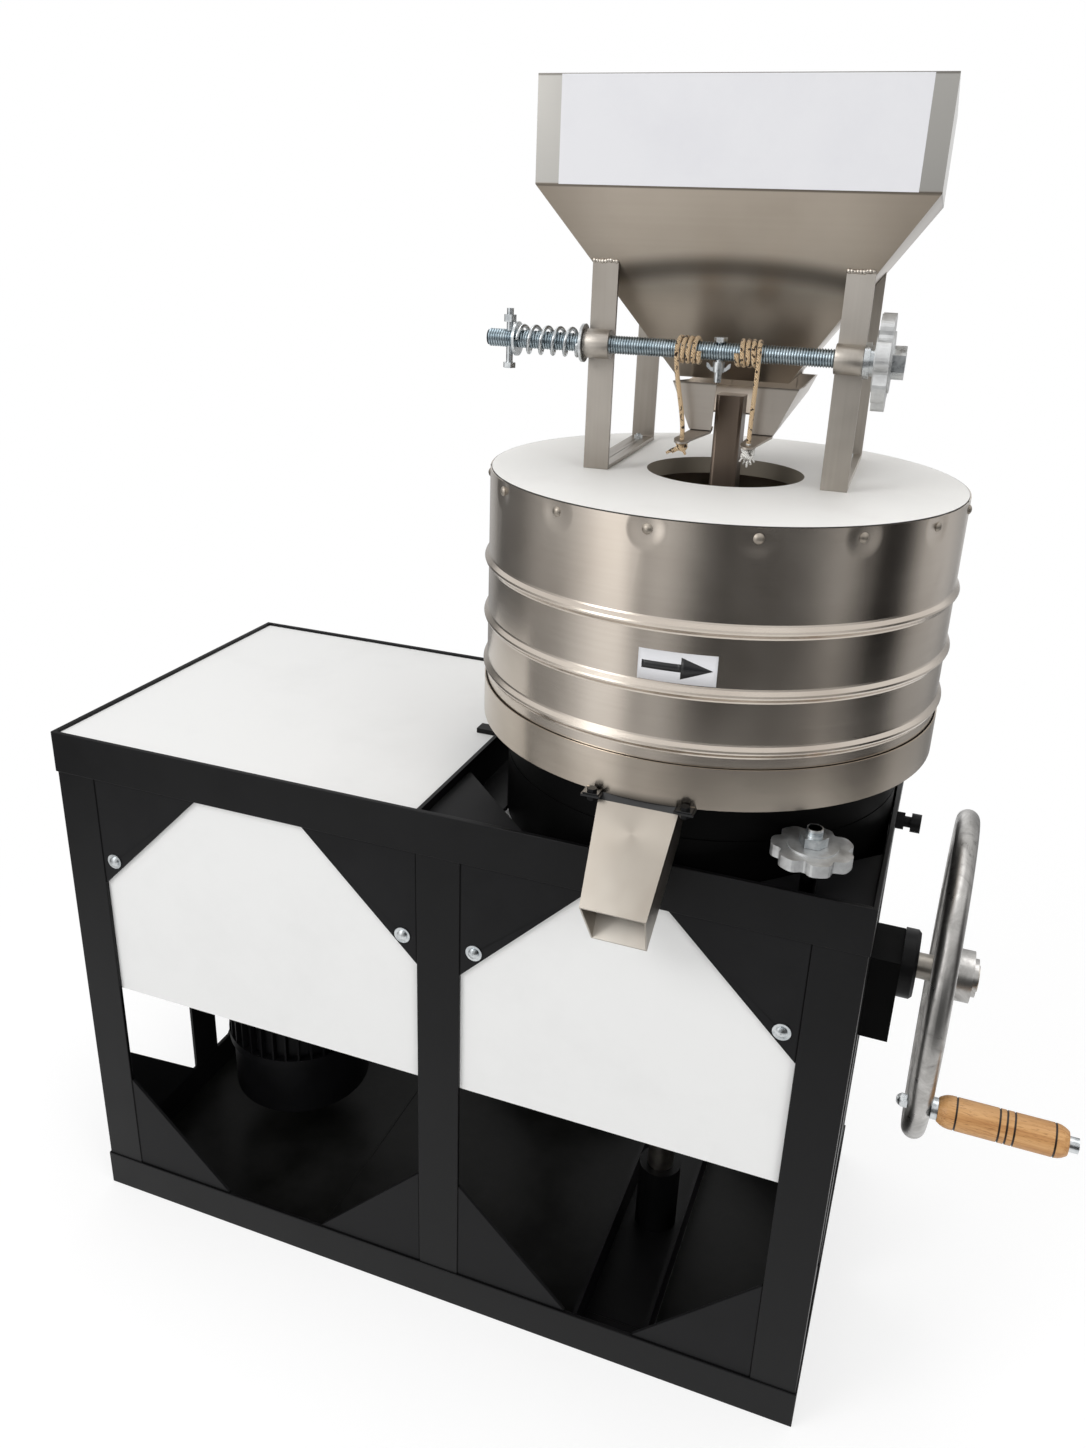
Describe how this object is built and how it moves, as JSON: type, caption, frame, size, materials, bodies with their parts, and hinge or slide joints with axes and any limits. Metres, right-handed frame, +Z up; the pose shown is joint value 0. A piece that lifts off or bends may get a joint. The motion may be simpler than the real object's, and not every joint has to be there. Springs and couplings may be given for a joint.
{
  "type": "stone grain mill",
  "caption": "Stone grain mill on an angle-iron frame, with a round steel stone casing, a square hopper with a cord-hung shoe, a flour chute and a hand wheel.",
  "frame": {"origin": "on the floor under the stone spindle, on the underside of the spindle footing", "axes": "+X to the right end with the hand wheel, +Y to the back, +Z up"},
  "size_m": [1.3567, 0.6632, 1.606],
  "materials": {
    "black_paint": "satin black paint",
    "white_laminate": "white laminate board",
    "white_board": "white board",
    "stainless": "brushed stainless sheet",
    "steel_bar": "plain steel",
    "zinc": "zinc plated",
    "cast_aluminium": "cast aluminium",
    "stone": "dressed millstone",
    "motor_paint": "dark motor paint",
    "cast_iron": "machined iron",
    "belt_rubber": "rubber belt",
    "cord": "twisted tan cord",
    "turned_wood": "turned and oiled wood",
    "bush_bronze": "bronze bush"
  },
  "bodies": {
    "frame": {"top_frame": "black_paint", "bottom_frame": "black_paint", "frame_posts": "black_paint", "gussets": "black_paint", "floor_sheet": "black_paint", "spindle_footing": "black_paint", "front_panels": "white_laminate", "back_panels": "white_laminate", "end_panels": "white_laminate", "top_panel": "white_laminate", "panel_screws": "zinc", "panel_clip": "black_paint", "bridge_beam": "black_paint", "stone_drum": "black_paint", "bed_stone": "stone", "spindle_bush": "bush_bronze", "pan_ring": "stainless", "chute": "stainless", "chute_bolts": "zinc", "clamp_bolt": "black_paint", "casing": "stainless", "casing_cover": "white_board", "cover_screws": "zinc", "hopper": "stainless", "hopper_stands": "steel_bar", "stand_bolts": "zinc", "shoe_pin": "zinc", "motor_mount": "black_paint", "motor_body": "motor_paint", "motor_cowl": "motor_paint", "drive_belt": "belt_rubber", "bearing_bracket": "black_paint", "bearing_housing": "black_paint", "deck_stud": "zinc", "cord_falls": "cord"},
    "feed_rod_unit": {"feed_rod": "zinc", "feed_knob": "cast_aluminium", "feed_nut": "zinc", "rod_washers": "zinc", "rod_spring": "zinc", "cross_bolt": "zinc", "middle_bolt": "zinc", "cord_turns_wound": "cord"},
    "feed_shoe": {"shoe": "stainless", "cord_knots": "cord"},
    "deck_knob": {"deck_knob": "cast_aluminium"},
    "hand_wheel": {"handwheel": "steel_bar", "wheel_shaft": "steel_bar", "grip_bolt": "zinc"},
    "wheel_grip": {"crank_grip": "turned_wood"},
    "lift_wedge": {"lift_wedge": "cast_iron"},
    "lift_sleeve": {"lift_sleeve": "cast_iron"},
    "stone_spindle": {"spindle": "steel_bar", "spindle_pulley": "cast_iron", "runner_stone": "stone", "stone_driver": "cast_iron", "damsel_bar": "steel_bar"},
    "motor_rotor": {"motor_shaft": "steel_bar", "motor_pulley": "cast_iron"}
  },
  "joints": [
    {"name": "feed_rod_turn", "type": "hinge", "parent": "frame", "child": "feed_rod_unit", "pos_m": [0.00318, -0.07593, 1.339], "axis": [0.9991, 0.0419, 0], "range_deg": [-10, 60]},
    {"name": "shoe_tilt", "type": "hinge", "parent": "frame", "child": "feed_shoe", "pos_m": [0.00437, 0.18234, 1.288], "axis": [0.9991, 0.0419, 0], "range_deg": [-0.5, 2.9], "deforming": ["cord_falls"]},
    {"name": "deck_knob_turn", "type": "hinge", "parent": "frame", "child": "deck_knob", "pos_m": [0.182, -0.24, 0.838], "axis": [0, 0, 1], "range_deg": [-180, 180]},
    {"name": "hand_wheel_turn", "type": "hinge", "parent": "frame", "child": "hand_wheel", "pos_m": [0.346, 0, 0.575], "axis": [1, 0, 0], "range_deg": [0, 2160]},
    {"name": "grip_spin", "type": "hinge", "parent": "hand_wheel", "child": "wheel_grip", "pos_m": [0.44, -0.18794, 0.5066], "axis": [1, 0, 0], "continuous": true},
    {"name": "wedge_slide", "type": "slide", "parent": "frame", "child": "lift_wedge", "axis": [-1, 0, 0], "range_m": [0, 0.024]},
    {"name": "sleeve_lift", "type": "slide", "parent": "frame", "child": "lift_sleeve", "axis": [0, 0, 1], "range_m": [0, 0.006]},
    {"name": "spindle_spin", "type": "hinge", "parent": "lift_sleeve", "child": "stone_spindle", "pos_m": [0, 0, 0.7], "axis": [0, 0, 1], "continuous": true},
    {"name": "motor_spin", "type": "hinge", "parent": "frame", "child": "motor_rotor", "pos_m": [-0.641, 0, 0.69], "axis": [0, 0, 1], "continuous": true}
  ],
  "couplings": [
    {"joint": "shoe_tilt", "follows": "feed_rod_turn", "ratio": 0.0469},
    {"joint": "wedge_slide", "follows": "hand_wheel_turn", "m_per_rad": 0.0006366},
    {"joint": "sleeve_lift", "follows": "hand_wheel_turn", "m_per_rad": 0.00015915},
    {"joint": "motor_spin", "follows": "spindle_spin", "ratio": 3.2727}
  ]
}
